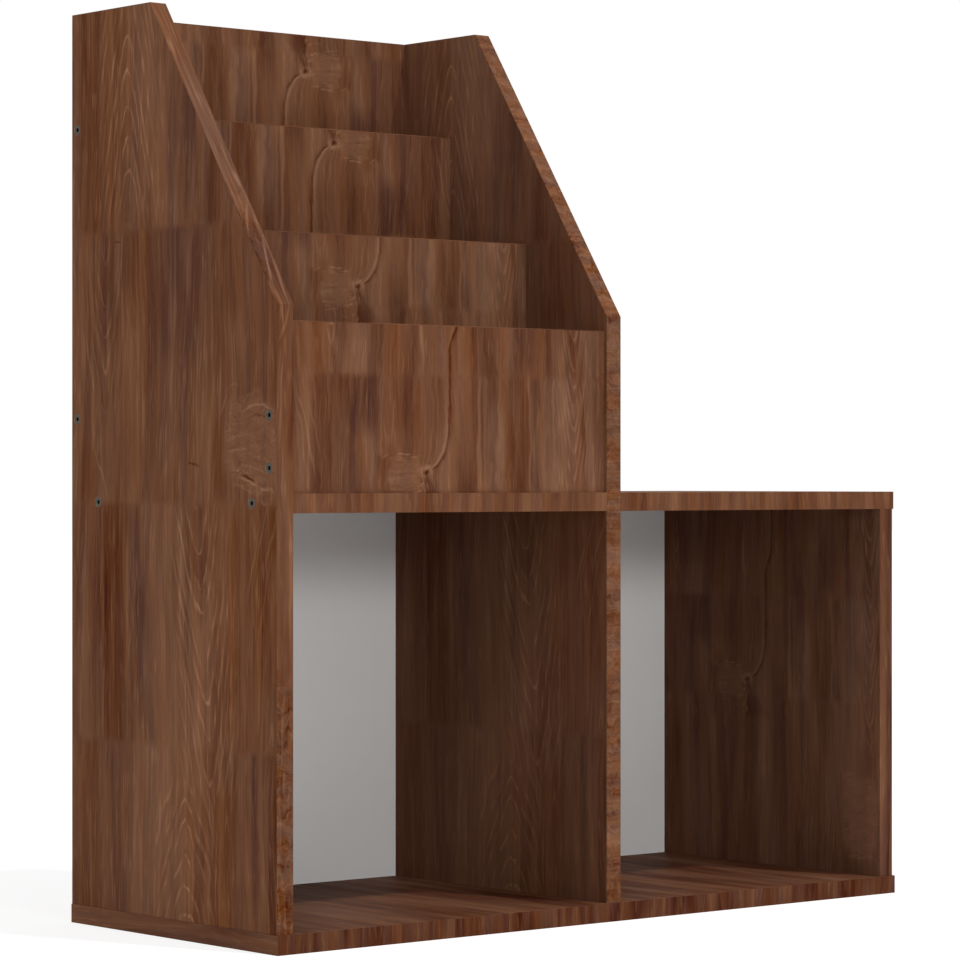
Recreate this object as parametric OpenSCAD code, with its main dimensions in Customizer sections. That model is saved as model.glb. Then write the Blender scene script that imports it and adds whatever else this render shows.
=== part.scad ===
// Children's book display rack beside and above two open storage cubes.
// X runs to the right, Y to the back and Z up, and the origin is on the floor under the base's middle.

/* [Overall size] */
// Width of the base panel
body_w = 800; // [780:1:860]
// Depth of the base panel
body_d = 334; // [330:1:360]
// Height of the sides' level tops above the floor
body_h = 880; // [870:1:940]
// Thickness of the chipboard
board_t = 18; // [16:1:19]
// Thickness of the glued edge bands
band_t = 0.8; // [0.4:0.2:1]

/* [Side outline] */
// Height above the floor at which the front edges start to slope back
slope_start_z = 588; // [580:1:620]
// Depth of the level stretch at the top of the two tall sides
top_flat_d = 132; // [110:1:150]
// How far the base stands out in front of the sides
front_step = 2; // [1:0.5:5]
// How far the base stands out past the left side
left_step = 1; // [0:0.5:3]
// How far the base and the cube's top stand out past the right side
right_step = 2; // [0:0.5:5]

/* [Cubes] */
// Distance from the base's left end to the middle side
middle_x = 400; // [380:1:420]
// Height above the floor of the shelf and of the right cube's top
shelf_z = 417; // [400:1:430]
// Thickness of the thin back
back_t = 3; // [2.5:0.5:3]
// Depth of the recess that the thin back lies in
recess_d = 3.2; // [3:0.1:4]
// Width of the ledge that the thin back is nailed to
ledge_w = 9; // [7:1:10]

/* [Book display] */
// How far the front board is set back from the sides' front edges
front_board_setback = 3.5; // [0:0.5:8]
// Distance from the base's front to the second board
second_board_y = 122.5; // [115:0.5:125]
// Distance from the base's front to the third board
third_board_y = 241.5; // [235:0.5:245]
// Height above the floor of the front board's top
front_board_top = 574; // [560:1:576]
// Height above the floor of the second board's top
second_board_top = 664; // [650:1:670]
// Height above the floor of the third board's top
third_board_top = 778; // [770:1:784]

/* [Screws and dowels] */
// Length of the board screws
screw_len = 50; // [40:5:50]
// Diameter of the screws' heads
screw_head_d = 10; // [9:0.5:10]
// Diameter of the wooden dowels
dowel_d = 8; // [6:1:8]
// Length of the wooden dowels
dowel_len = 30; // [25:5:35]
// Diameter of the nails in the thin back
nail_d = 1.6; // [1.2:0.2:1.8]
// Length of the nails in the thin back
nail_len = 20; // [16:1:22]

/* [Hidden] */

walnut = [0.38, 0.23, 0.16];
walnut_band = [0.44, 0.27, 0.19];
white_board = [0.86, 0.86, 0.84];
grey_steel = [0.45, 0.45, 0.42];
beech = [0.80, 0.66, 0.47];
round_fn = 32;
cut = 1;

// Faces of the uprights and boards, measured from the base's front left corner on the floor
left_x = left_step;
display_x0 = left_x + board_t;
display_x1 = middle_x;
cube_x0 = middle_x + board_t;
right_x = body_w - right_step - board_t;
side_y = front_step;
front_board_y = side_y + front_board_setback;
upper_back_y = body_d - board_t;
shelf_under_z = shelf_z - board_t;

// Each display board stands as high above its pocket's floor as the front board does above the shelf
pocket_lip = front_board_top - shelf_z;
middle_floor_z = second_board_top - pocket_lip;
rear_floor_z = third_board_top - pocket_lip;

// Slope of the tall sides' front edges, from the horizontal
slope_top_y = body_d - top_flat_d;
slope_angle = atan2(body_h - slope_start_z, slope_top_y - side_y);

// The thin back's recess, cut across the rear of everything around the two cubes
recess_x0 = display_x0 - ledge_w;
recess_x1 = right_x + ledge_w;
recess_z0 = board_t - ledge_w;
recess_z1 = shelf_under_z + ledge_w;
ledge_y = body_d - recess_d;
back_gap = 0.5;

// Board screws: a sunk head with a socket, a plain neck and a threaded core
neck_d = 6.8;
core_d = 5;
head_rim = 0.8;
head_h = 3.2;
socket_af = 4;
socket_depth = 2.6;
screw_tip = 4;
screw_fit = 0.1;
head_sink = 0.3;
pilot_spare = 2;

// Depths of the screws in level boards, and heights of those in standing boards
screw_front_y = 41;
screw_rear_y = 289;
low_screw_z = shelf_z + 23;
middle_screw_z = shelf_z + 71;
high_screw_z = body_h - 112;

// Screws through the tall sides into the shelf, front board and upper back board, as [depth, height]
side_screws = [
    for (y = [screw_front_y, screw_rear_y]) [y, shelf_z - board_t / 2],
    for (z = [low_screw_z, middle_screw_z]) [front_board_y + board_t / 2, z],
    for (z = [middle_screw_z, high_screw_z]) [upper_back_y + board_t / 2, z]
];

// Dowels sit in blind holes, and their ends are bevelled
dowel_in_side = 12;
dowel_gap = 0.5;
dowel_bevel = 1;
dowel_from_edge = 45;
cube_top_dowel_y = [100, 230];

// Dowels at both ends of the second and third boards and of the raised floors, as [depth, height]
display_dowels = [
    for (z = [shelf_z + dowel_from_edge, second_board_top - dowel_from_edge])
        [second_board_y + board_t / 2, z],
    for (z = [middle_floor_z + dowel_from_edge, third_board_top - dowel_from_edge])
        [third_board_y + board_t / 2, z],
    for (y = spread(second_board_y + board_t, third_board_y, 2)) [y, middle_floor_z - board_t / 2],
    for (y = spread(third_board_y + board_t, upper_back_y, 2)) [y, rear_floor_z - board_t / 2]
];

// Nails along the ledges of the thin back
nail_head_d = 3.4;
nail_head_h = 0.6;
nail_inset = ledge_w / 2;
nails_per_bay = 3;
nails_per_upright = 3;

// Evenly spread positions between two ends, half a step in from each
function spread(from, to, count) = [for (i = [0:count - 1]) from + (to - from) * (i + 0.5) / count];

// Outline of a tall side in depth and height, pulled in by inset along its banded edges
function side_profile(inset) = [
    [side_y + inset, board_t],
    [side_y + inset, slope_start_z - inset * tan((90 - slope_angle) / 2)],
    [slope_top_y + inset * tan(slope_angle / 2), body_h - inset],
    [body_d, body_h - inset],
    [body_d, board_t]
];

// Moves a piece from the base's front left corner to the part's origin
module in_frame() {
    translate([-body_w / 2, -body_d / 2, 0]) children();
}

// A square-edged board between two opposite corners
module board(low, high) {
    translate(low) cube(high - low);
}

// Stands an outline drawn in depth and height on its edge, one board thick
module upright(x) {
    translate([x, 0, 0]) rotate([90, 0, 90]) linear_extrude(board_t) children();
}

// Head, neck, core and tip of a board screw along Z, or with its fit added, the hole that takes it
module screw_profile(fit, neck_end, length, tip_r) {
    head_r = screw_head_d / 2 + fit;
    neck_r = neck_d / 2 + fit;
    core_r = core_d / 2;
    rotate_extrude($fn = round_fn) polygon([
        [0, 0], [head_r, 0], [head_r, head_rim], [neck_r, head_h], [neck_r, neck_end],
        [core_r, neck_end], [core_r, length - screw_tip], [tip_r, length], [0, length]
    ]);
}

module board_screw() {
    color(grey_steel) translate([0, 0, head_sink]) difference() {
        screw_profile(0, board_t - head_sink, screw_len, core_d / 4);
        translate([0, 0, -cut]) cylinder(d = socket_af / cos(30), h = socket_depth + cut, $fn = 6);
    }
}

// Countersink and clearance hole through the first board, and pilot hole in the second
module screw_hole() {
    screw_profile(screw_fit, board_t, screw_len + pilot_spare, core_d / 2);
    translate([0, 0, -cut])
        cylinder(d = screw_head_d + 2 * screw_fit, h = cut + head_rim / 2, $fn = round_fn);
}

module dowel() {
    r = dowel_d / 2;
    color(beech) translate([0, 0, dowel_gap - dowel_in_side]) rotate_extrude($fn = round_fn) polygon([
        [0, 0], [r - dowel_bevel, 0], [r, dowel_bevel],
        [r, dowel_len - dowel_bevel], [r - dowel_bevel, dowel_len], [0, dowel_len]
    ]);
}

// Blind hole in the side that carries on into the board's end
module dowel_hole() {
    translate([0, 0, -dowel_in_side]) cylinder(d = dowel_d, h = dowel_len + 2 * dowel_gap, $fn = round_fn);
}

module nail() {
    color(grey_steel) {
        cylinder(d = nail_d, h = nail_len, $fn = round_fn);
        cylinder(d = nail_head_d, h = nail_head_h, $fn = round_fn);
    }
}

module at_left_screws() {
    for (yz = side_screws) translate([left_x, yz[0], yz[1]]) rotate([0, 90, 0]) children();
}

module at_middle_screws() {
    for (yz = side_screws) translate([cube_x0, yz[0], yz[1]]) rotate([0, -90, 0]) children();
}

module at_cube_top_screws() {
    for (y = [screw_front_y, screw_rear_y])
        translate([right_x + board_t / 2, y, shelf_z]) rotate([180, 0, 0]) children();
}

module at_base_screws() {
    for (x = [left_x, middle_x, right_x], y = [screw_front_y, screw_rear_y])
        translate([x + board_t / 2, y, 0]) children();
}

module at_left_dowels() {
    for (yz = display_dowels) translate([display_x0, yz[0], yz[1]]) rotate([0, 90, 0]) children();
}

module at_right_dowels() {
    for (yz = display_dowels) translate([display_x1, yz[0], yz[1]]) rotate([0, -90, 0]) children();
}

module at_cube_top_dowels() {
    for (y = cube_top_dowel_y) translate([cube_x0, y, shelf_z - board_t / 2]) rotate([0, 90, 0]) children();
}

// Each nail starts on the thin back's rear face and points forwards
module at_nails() {
    rail_x = concat(spread(display_x0, display_x1, nails_per_bay), spread(cube_x0, right_x, nails_per_bay));
    upright_x = [recess_x0 + nail_inset, middle_x + board_t / 2, recess_x1 - nail_inset];
    for (x = rail_x, z = [recess_z0 + nail_inset, recess_z1 - nail_inset])
        translate([x, ledge_y + back_t, z]) rotate([90, 0, 0]) children();
    for (x = upright_x, z = spread(board_t, shelf_under_z, nails_per_upright))
        translate([x, ledge_y + back_t, z]) rotate([90, 0, 0]) children();
}

module nail_holes() {
    at_nails() nail();
}

module back_recess() {
    board([recess_x0, ledge_y, recess_z0], [recess_x1, body_d + cut, recess_z1]);
}

module base_panel() {
    color(walnut) in_frame() difference() {
        board([band_t, band_t, 0], [body_w - band_t, body_d, board_t]);
        at_base_screws() screw_hole();
        back_recess();
        nail_holes();
    }
}

module left_side() {
    color(walnut) in_frame() difference() {
        upright(left_x) polygon(side_profile(band_t));
        at_left_screws() screw_hole();
        at_base_screws() screw_hole();
        at_left_dowels() dowel_hole();
        back_recess();
        nail_holes();
    }
}

module middle_side() {
    color(walnut) in_frame() difference() {
        upright(middle_x) polygon(side_profile(band_t));
        at_middle_screws() screw_hole();
        at_base_screws() screw_hole();
        at_right_dowels() dowel_hole();
        at_cube_top_dowels() dowel_hole();
        back_recess();
        nail_holes();
    }
}

module right_side() {
    color(walnut) in_frame() difference() {
        board([right_x, side_y + band_t, board_t], [right_x + board_t, body_d, shelf_under_z]);
        at_cube_top_screws() screw_hole();
        at_base_screws() screw_hole();
        back_recess();
        nail_holes();
    }
}

module cube_top() {
    color(walnut) in_frame() difference() {
        board([cube_x0, side_y + band_t, shelf_under_z], [body_w - band_t, body_d, shelf_z]);
        at_cube_top_screws() screw_hole();
        at_cube_top_dowels() dowel_hole();
        back_recess();
        nail_holes();
    }
}

module middle_shelf() {
    color(walnut) in_frame() difference() {
        board([display_x0, side_y + band_t, shelf_under_z], [display_x1, body_d, shelf_z]);
        at_left_screws() screw_hole();
        at_middle_screws() screw_hole();
        back_recess();
        nail_holes();
    }
}

// A board that stands across the display, with its top edge left bare for its band
module display_board(y, z0, z1) {
    color(walnut) in_frame() difference() {
        board([display_x0, y, z0], [display_x1, y + board_t, z1 - band_t]);
        children();
    }
}

module front_board() {
    display_board(front_board_y, shelf_z, front_board_top) {
        at_left_screws() screw_hole();
        at_middle_screws() screw_hole();
    }
}

module second_board() {
    display_board(second_board_y, shelf_z, second_board_top) {
        at_left_dowels() dowel_hole();
        at_right_dowels() dowel_hole();
    }
}

module third_board() {
    display_board(third_board_y, middle_floor_z - board_t, third_board_top) {
        at_left_dowels() dowel_hole();
        at_right_dowels() dowel_hole();
    }
}

module upper_back_board() {
    display_board(upper_back_y, shelf_z, body_h) {
        at_left_screws() screw_hole();
        at_middle_screws() screw_hole();
    }
}

// A raised floor between two of the display's boards
module pocket_floor(y0, y1, top_z) {
    color(walnut) in_frame() difference() {
        board([display_x0, y0, top_z - board_t], [display_x1, y1, top_z]);
        at_left_dowels() dowel_hole();
        at_right_dowels() dowel_hole();
    }
}

module middle_pocket_floor() {
    pocket_floor(second_board_y + board_t, third_board_y, middle_floor_z);
}

module rear_pocket_floor() {
    pocket_floor(third_board_y + board_t, upper_back_y, rear_floor_z);
}

module thin_back() {
    color(white_board) in_frame() difference() {
        board(
            [recess_x0 + back_gap, ledge_y, recess_z0 + back_gap],
            [recess_x1 - back_gap, ledge_y + back_t, recess_z1 - back_gap]
        );
        nail_holes();
    }
}

// A level strip of edge band
module band(low, high) {
    color(walnut_band) in_frame() board(low, high);
}

// The three mitred strips along a tall side's front edge, slope and top
module side_bands(x) {
    outer = side_profile(0);
    inner = side_profile(band_t);
    color(walnut_band) in_frame() for (i = [0:2])
        upright(x) polygon([outer[i], outer[i + 1], inner[i + 1], inner[i]]);
}

module base_edge_bands() {
    band([0, 0, 0], [body_w, band_t, board_t]);
    band([0, band_t, 0], [band_t, body_d, board_t]);
    band([body_w - band_t, band_t, 0], [body_w, body_d, board_t]);
}

module left_side_edge_bands() {
    side_bands(left_x);
}

module middle_side_edge_bands() {
    side_bands(middle_x);
}

module right_side_edge_band() {
    band([right_x, side_y, board_t], [right_x + board_t, side_y + band_t, shelf_under_z]);
}

module cube_top_edge_bands() {
    band([cube_x0, side_y, shelf_under_z], [body_w, side_y + band_t, shelf_z]);
    band([body_w - band_t, side_y + band_t, shelf_under_z], [body_w, body_d, shelf_z]);
}

module middle_shelf_edge_band() {
    band([display_x0, side_y, shelf_under_z], [display_x1, side_y + band_t, shelf_z]);
}

// The strip along a display board's top edge
module top_band(y, top_z) {
    band([display_x0, y, top_z - band_t], [display_x1, y + board_t, top_z]);
}

module front_board_edge_band() {
    top_band(front_board_y, front_board_top);
}

module second_board_edge_band() {
    top_band(second_board_y, second_board_top);
}

module third_board_edge_band() {
    top_band(third_board_y, third_board_top);
}

module upper_back_edge_band() {
    top_band(upper_back_y, body_h);
}

module left_side_screws() {
    in_frame() at_left_screws() board_screw();
}

module middle_side_screws() {
    in_frame() at_middle_screws() board_screw();
}

module cube_top_screws() {
    in_frame() at_cube_top_screws() board_screw();
}

module base_screws() {
    in_frame() at_base_screws() board_screw();
}

module left_display_dowels() {
    in_frame() at_left_dowels() dowel();
}

module right_display_dowels() {
    in_frame() at_right_dowels() dowel();
}

module cube_top_dowels() {
    in_frame() at_cube_top_dowels() dowel();
}

module thin_back_nails() {
    in_frame() at_nails() nail();
}

base_panel();
left_side();
middle_side();
right_side();
cube_top();
middle_shelf();
front_board();
second_board();
third_board();
upper_back_board();
middle_pocket_floor();
rear_pocket_floor();
thin_back();
base_edge_bands();
left_side_edge_bands();
middle_side_edge_bands();
right_side_edge_band();
cube_top_edge_bands();
middle_shelf_edge_band();
front_board_edge_band();
second_board_edge_band();
third_board_edge_band();
upper_back_edge_band();
left_side_screws();
middle_side_screws();
cube_top_screws();
base_screws();
left_display_dowels();
right_display_dowels();
cube_top_dowels();
thin_back_nails();
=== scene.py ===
import math
import bpy
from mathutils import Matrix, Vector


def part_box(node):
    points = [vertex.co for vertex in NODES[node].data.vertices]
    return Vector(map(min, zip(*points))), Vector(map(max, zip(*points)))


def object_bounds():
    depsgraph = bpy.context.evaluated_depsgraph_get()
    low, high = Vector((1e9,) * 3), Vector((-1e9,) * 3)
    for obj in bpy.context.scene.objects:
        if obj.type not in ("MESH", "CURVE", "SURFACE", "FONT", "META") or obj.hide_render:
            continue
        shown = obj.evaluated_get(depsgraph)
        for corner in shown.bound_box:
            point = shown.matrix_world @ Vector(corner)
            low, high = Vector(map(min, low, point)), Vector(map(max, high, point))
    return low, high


# Walnut finish, light and camera for the children's book display rack.
# Everything is in metres in the part's frame. The décor's own sizes are in millimetres on its board.
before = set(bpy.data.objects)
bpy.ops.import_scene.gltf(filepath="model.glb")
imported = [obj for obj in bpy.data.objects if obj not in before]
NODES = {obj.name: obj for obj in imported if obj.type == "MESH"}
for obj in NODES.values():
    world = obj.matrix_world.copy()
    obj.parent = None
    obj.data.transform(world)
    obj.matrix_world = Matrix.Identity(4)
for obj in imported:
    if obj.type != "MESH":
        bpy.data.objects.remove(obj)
cad_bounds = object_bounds()
MM = 0.001
AXES = "XYZ"
# How far the grain stands out, how much the edges of each kind of piece are rounded, the gap that is welded
# before that, and from how many degrees an edge counts as sharp
GRAIN_DEPTH = 0.05 * MM
BOARD_ROUNDING = 0.25 * MM
BAND_ROUNDING = 0.2 * MM
THIN_BACK_ROUNDING = 0.15 * MM
WELD_GAP = 0.001 * MM
SHARP_FROM = 50
# A surface faces an axis where more than this part of its normal lies along it
FACES_FROM = 0.6


def colour(red, green, blue):
    """A colour written as on a screen, 0 to 255, as linear light."""
    def linear(value):
        value /= 255
        return value / 12.92 if value <= 0.04045 else ((value + 0.055) / 1.055) ** 2.4
    return (linear(red), linear(green), linear(blue), 1.0)


# Walnut décor. Its colours lie close to one line: the paler, the greyer. A second, smaller change is warmth.
WALNUT = colour(111, 72, 50)
PALER = (0.74, 1.06, 1.30)
WARMER = (0.72, 0.30, -0.65)
# The least part of walnut's own red, green and blue that is left where the print is darkest
DARKEST = (0.1, 0.1, 0.1)
VARNISH_ROUGHNESS = 0.55
VARNISH_SPECULAR = 0.03
BUMP_STRENGTH = 0.2
# Other finishes
CHIP_LIGHT = colour(206, 176, 132)
CHIP_DARK = colour(140, 104, 66)
BACK_WHITE = colour(245, 246, 245)
HARDBOARD = colour(128, 90, 56)
SCREW_STEEL = colour(78, 73, 67)
BEECH = colour(214, 180, 134)
WHITE_ROUGHNESS = 0.5
WHITE_SPECULAR = 0.3
HARDBOARD_ROUGHNESS = 0.75
STEEL_ROUGHNESS = (0.36, 0.52)
STEEL_METALLIC = 0.9
BEECH_ROUGHNESS = 0.6


class Tree:
    """Adds joined nodes to one shader or group."""

    def __init__(self, tree):
        self.tree = tree

    def feed(self, socket, value):
        """Joins a socket to another one's value, or sets it to a constant."""
        if isinstance(value, bpy.types.NodeSocket):
            self.tree.links.new(value, socket)
        else:
            socket.default_value = value

    def add(self, kind, inputs=(), **settings):
        node = self.tree.nodes.new(kind)
        node.location = (180 * len(self.tree.nodes), 0)
        for name, value in settings.items():
            setattr(node, name, value)
        for name, value in dict(inputs).items():
            self.feed(node.inputs[name], value)
        return node

    def math(self, operation, *values):
        node = self.add("ShaderNodeMath", operation=operation)
        for socket, value in zip(node.inputs, values):
            self.feed(socket, value)
        return node.outputs[0]

    def total(self, *values):
        result = values[0]
        for value in values[1:]:
            result = self.math("ADD", result, value)
        return result

    def times(self, *values):
        result = values[0]
        for value in values[1:]:
            result = self.math("MULTIPLY", result, value)
        return result

    def spread(self, value, low, high, to_low=0.0, to_high=1.0, smooth=True):
        """Takes low..high to to_low..to_high and holds the ends."""
        node = self.add("ShaderNodeMapRange", interpolation_type="SMOOTHSTEP" if smooth else "LINEAR")
        for name, number in zip(("Value", "From Min", "From Max", "To Min", "To Max"),
                                (value, low, high, to_low, to_high)):
            self.feed(node.inputs[name], number)
        return node.outputs["Result"]

    def vector(self, x=0.0, y=0.0, z=0.0):
        return self.add("ShaderNodeCombineXYZ", {"X": x, "Y": y, "Z": z}).outputs[0]

    def noise(self, across, along, seed, width, length, detail=1.0, roughness=0.5):
        """Soft noise from -1 to 1, width by length millimetres, on the sheet that seed picks."""
        place = self.vector(self.times(across, 1 / width), self.times(along, 1 / length), seed)
        node = self.add("ShaderNodeTexNoise", {
            "Vector": place, "Scale": 1.0, "Detail": detail, "Roughness": roughness})
        return self.spread(node.outputs["Fac"], 0.25, 0.75, -1.0, 1.0, smooth=False)

    def mix(self, factor, a, b):
        """Colour a where factor is 0, and colour b where it is 1."""
        node = self.add("ShaderNodeMix", data_type="RGBA")
        self.feed(node.inputs["Factor"], factor)
        self.feed(node.inputs["A"], a)
        self.feed(node.inputs["B"], b)
        return node.outputs["Result"]

    def brighten(self, tint, amount):
        """Multiplies a colour by 1 plus amount."""
        node = self.add("ShaderNodeVectorMath", operation="SCALE")
        self.feed(node.inputs[0], tint[:3] if isinstance(tint, tuple) else tint)
        self.feed(node.inputs["Scale"], self.math("ADD", amount, 1.0))
        return node.outputs[0]

    def use(self, group, **inputs):
        """Places a node group; an input's name has an underscore for each space."""
        node = self.add("ShaderNodeGroup", node_tree=group)
        for name, value in inputs.items():
            self.feed(node.inputs[name.replace("_", " ")], value)
        return node.outputs


def group(name, inputs, outputs):
    """A node group with number inputs, and outputs given as name and socket kind."""
    tree = bpy.data.node_groups.new(name, "ShaderNodeTree")
    for label, value in inputs:
        socket = tree.interface.new_socket(label, in_out="INPUT", socket_type="NodeSocketFloat")
        socket.default_value = value
    for label, kind in outputs:
        tree.interface.new_socket(label, in_out="OUTPUT", socket_type="NodeSocket" + kind)
    given = tree.nodes.new("NodeGroupInput").outputs
    out = tree.nodes.new("NodeGroupOutput").inputs
    return tree, Tree(tree), given, out


def make_arches():
    """Pointed arches of growth rings along an axis: they point up below the turn and down above it.
    Width says how round their tips are and Slope how steep their flanks."""
    turn_round = 15
    wander_by = 11.0
    jitter_by = 1.3
    tree, t, given, out = group("Growth ring arches", [
        ("Across", 0.0), ("Along", 0.0), ("Seed", 0.0), ("Turn", 1200.0), ("Spacing", 30.0), ("Reach", 60.0),
        ("Width", 12.0), ("Slope", 3.0),
    ], [("Lines", "Float"), ("Tone", "Float")])
    across, along, seed = given["Across"], given["Along"], given["Seed"]
    out_by = t.math("DIVIDE", across, given["Width"])
    opening = t.math("SQRT", t.math("MULTIPLY_ADD", out_by, out_by, 1.0))
    from_turn = t.math("SUBTRACT", along, given["Turn"])
    lift = t.math("SQRT", t.math("ADD", t.times(from_turn, from_turn), turn_round ** 2))
    wander = t.times(t.noise(across, along, seed, 24, 90, detail=2), wander_by)
    jitter = t.times(t.noise(across, along, t.math("ADD", seed, 5.0), 3.5, 9), jitter_by)
    rings = t.total(t.times(opening, given["Width"], given["Slope"]), t.times(lift, -1.0), wander, jitter)
    slope = t.times(given["Slope"], t.math("DIVIDE", out_by, opening))
    steepness = t.math("SQRT", t.math("ADD", t.times(slope, slope), 1.0))
    edges = t.add("ShaderNodeTexVoronoi", {
        "W": t.math("DIVIDE", rings, given["Spacing"]), "Scale": 1.0, "Randomness": 0.9,
    }, voronoi_dimensions="1D", feature="DISTANCE_TO_EDGE")
    gap = t.math("DIVIDE", t.times(edges.outputs["Distance"], given["Spacing"]), steepness)
    line = t.spread(gap, 0.3, 2.2, 1.0, 0.0)
    patchy = t.spread(t.noise(across, along, t.math("ADD", seed, 3.0), 9, 40), -0.5, 0.5, 0.15, 1.0)
    tip = t.spread(t.math("ABSOLUTE", out_by), 0.0, 1.6, 1.35, 0.85)
    band = t.add("ShaderNodeTexNoise", {
        "W": t.math("DIVIDE", rings, given["Spacing"]), "Scale": 1.0, "Detail": 3.0,
    }, noise_dimensions="1D")
    window = t.spread(t.math("ABSOLUTE", across), t.times(given["Reach"], 0.45), given["Reach"], 1.0, 0.0)
    t.feed(out["Lines"], t.times(line, patchy, tip, window))
    tone = t.spread(band.outputs["Fac"], 0.3, 0.7, -1.0, 1.0, smooth=False)
    t.feed(out["Tone"], t.times(tone, window))
    return tree


def make_burl():
    """A patch of burl: a paler ground with soft lumps and curly lines, each pale with a dark side, and
    broken pale lines along its two ends. A higher Square gives it squarer shoulders."""
    dark_beside = 0.24
    edge_at = 0.98
    tree, t, given, out = group("Burl patch", [
        ("Across", 0.0), ("Along", 0.0), ("Half Width", 21.0), ("Half Length", 18.0), ("Seed", 0.0),
        ("Paler", 0.18), ("Edge", 0.3), ("Square", 4.0), ("Flow", 3.0),
    ], [("Mask", "Float"), ("Light", "Float")])
    seed = given["Seed"]
    across = t.math("DIVIDE", given["Across"], given["Half Width"])
    along = t.math("DIVIDE", given["Along"], given["Half Length"])
    bend = t.times(t.noise(across, along, seed, 0.8, 0.8), 0.15)
    side = t.math("POWER", t.math("ABSOLUTE", t.math("ADD", across, bend)), given["Square"])
    end = t.math("POWER", t.math("ABSOLUTE", t.math("SUBTRACT", along, bend)), given["Square"])
    out_to = t.math("POWER", t.math("ADD", side, end), t.math("DIVIDE", 1.0, given["Square"]))
    mask = t.spread(out_to, 0.78, 1.06, 1.0, 0.0)

    sway = t.times(t.noise(given["Across"], given["Along"], t.math("ADD", seed, 1.0), 24, 17), given["Flow"])
    flow = t.math("ADD", given["Along"], sway)
    lumps = t.noise(given["Across"], flow, t.math("ADD", seed, 5.0), 14, 7, detail=2, roughness=0.6)
    patchy = t.noise(given["Across"], given["Along"], t.math("ADD", seed, 4.0), 26, 14, detail=0)
    swirl = t.noise(given["Across"], flow, t.math("ADD", seed, 2.0), 13, 6)
    pale_line = t.spread(t.math("ABSOLUTE", swirl), 0.0, 0.15, 0.30, 0.0)
    dark_side = t.spread(t.math("ABSOLUTE", t.math("ADD", swirl, dark_beside)), 0.0, 0.18, 0.22, 0.0)
    lines = t.times(t.math("SUBTRACT", pale_line, dark_side), t.spread(patchy, -0.3, 0.4, 0.25, 1.0))
    light = t.total(t.times(lumps, 0.20), lines, given["Paler"])

    broken = t.spread(t.noise(given["Across"], given["Along"], t.math("ADD", seed, 3.0), 16, 12, detail=0),
                      -0.1, 0.4)
    at_end = t.spread(t.math("SUBTRACT", end, side), -0.1, 0.3)
    edge = t.spread(t.math("ABSOLUTE", t.math("SUBTRACT", out_to, edge_at)), 0.015, 0.07, 1.0, 0.0)
    t.feed(out["Mask"], mask)
    t.feed(out["Light"], t.total(t.times(mask, light), t.times(edge, at_end, broken, given["Edge"])))
    return tree


def make_curl():
    """A short thin line across the grain, arched by Rise and tilted by Tilt, that fades at both ends."""
    tree, t, given, out = group("Curl across the grain", [
        ("Across", 0.0), ("Along", 0.0), ("Place", 0.0), ("Height", 0.0), ("Half Width", 10.0), ("Rise", 2.0),
        ("Tilt", 0.0), ("Thickness", 1.0),
    ], [("Mask", "Float")])
    out_by = t.math("DIVIDE", t.math("SUBTRACT", given["Across"], given["Place"]), given["Half Width"])
    bow = t.math("MULTIPLY_ADD", out_by, t.times(given["Rise"], -1.0), given["Tilt"])
    arc = t.math("MULTIPLY_ADD", bow, out_by, t.math("ADD", given["Height"], given["Rise"]))
    apart = t.math("ABSOLUTE", t.math("SUBTRACT", given["Along"], arc))
    line = t.spread(apart, t.times(given["Thickness"], 0.3), t.times(given["Thickness"], 1.2), 1.0, 0.0)
    ends = t.spread(t.math("ABSOLUTE", out_by), 0.5, 1.0, 1.0, 0.0)
    t.feed(out["Mask"], t.times(line, ends))
    return tree


def make_bark():
    """The mottled print of some edge bands: lumps, short curls and thin dark seams across the band."""
    tree, t, given, out = group("Mottled band", [("Across", 0.0), ("Along", 0.0), ("Seed", 0.0)], [
        ("Light", "Float"), ("Warm", "Float")])
    across, along, seed = given["Across"], given["Along"], given["Seed"]
    swirl = t.noise(across, along, seed, 12, 14, detail=1)
    sway = t.noise(across, along, t.math("ADD", seed, 1.0), 10, 16, detail=1)
    x = t.math("ADD", across, t.times(swirl, 8.0))
    z = t.math("ADD", along, t.times(sway, 7.0))
    lumps = t.noise(x, z, t.math("ADD", seed, 2.0), 14, 9, detail=2, roughness=0.6)
    blocks = t.spread(t.noise(x, z, t.math("ADD", seed, 5.0), 40, 15, detail=0), -0.3, 0.3, -1.0, 1.0)
    curls = t.spread(t.math("ABSOLUTE", t.noise(x, z, t.math("ADD", seed, 3.0), 13, 7)), 0.0, 0.16, 1.0, 0.0)
    seams = t.spread(t.math("ABSOLUTE", t.noise(x, z, t.math("ADD", seed, 4.0), 30, 13)), 0.0, 0.10, 1.0, 0.0)
    t.feed(out["Light"], t.total(t.times(lumps, 0.28), t.times(blocks, 0.15), t.times(curls, 0.34),
                                 t.times(seams, -0.30), -0.03))
    t.feed(out["Warm"], t.times(t.math("SUBTRACT", swirl, t.times(blocks, 0.5)), 0.16))
    return tree


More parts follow.
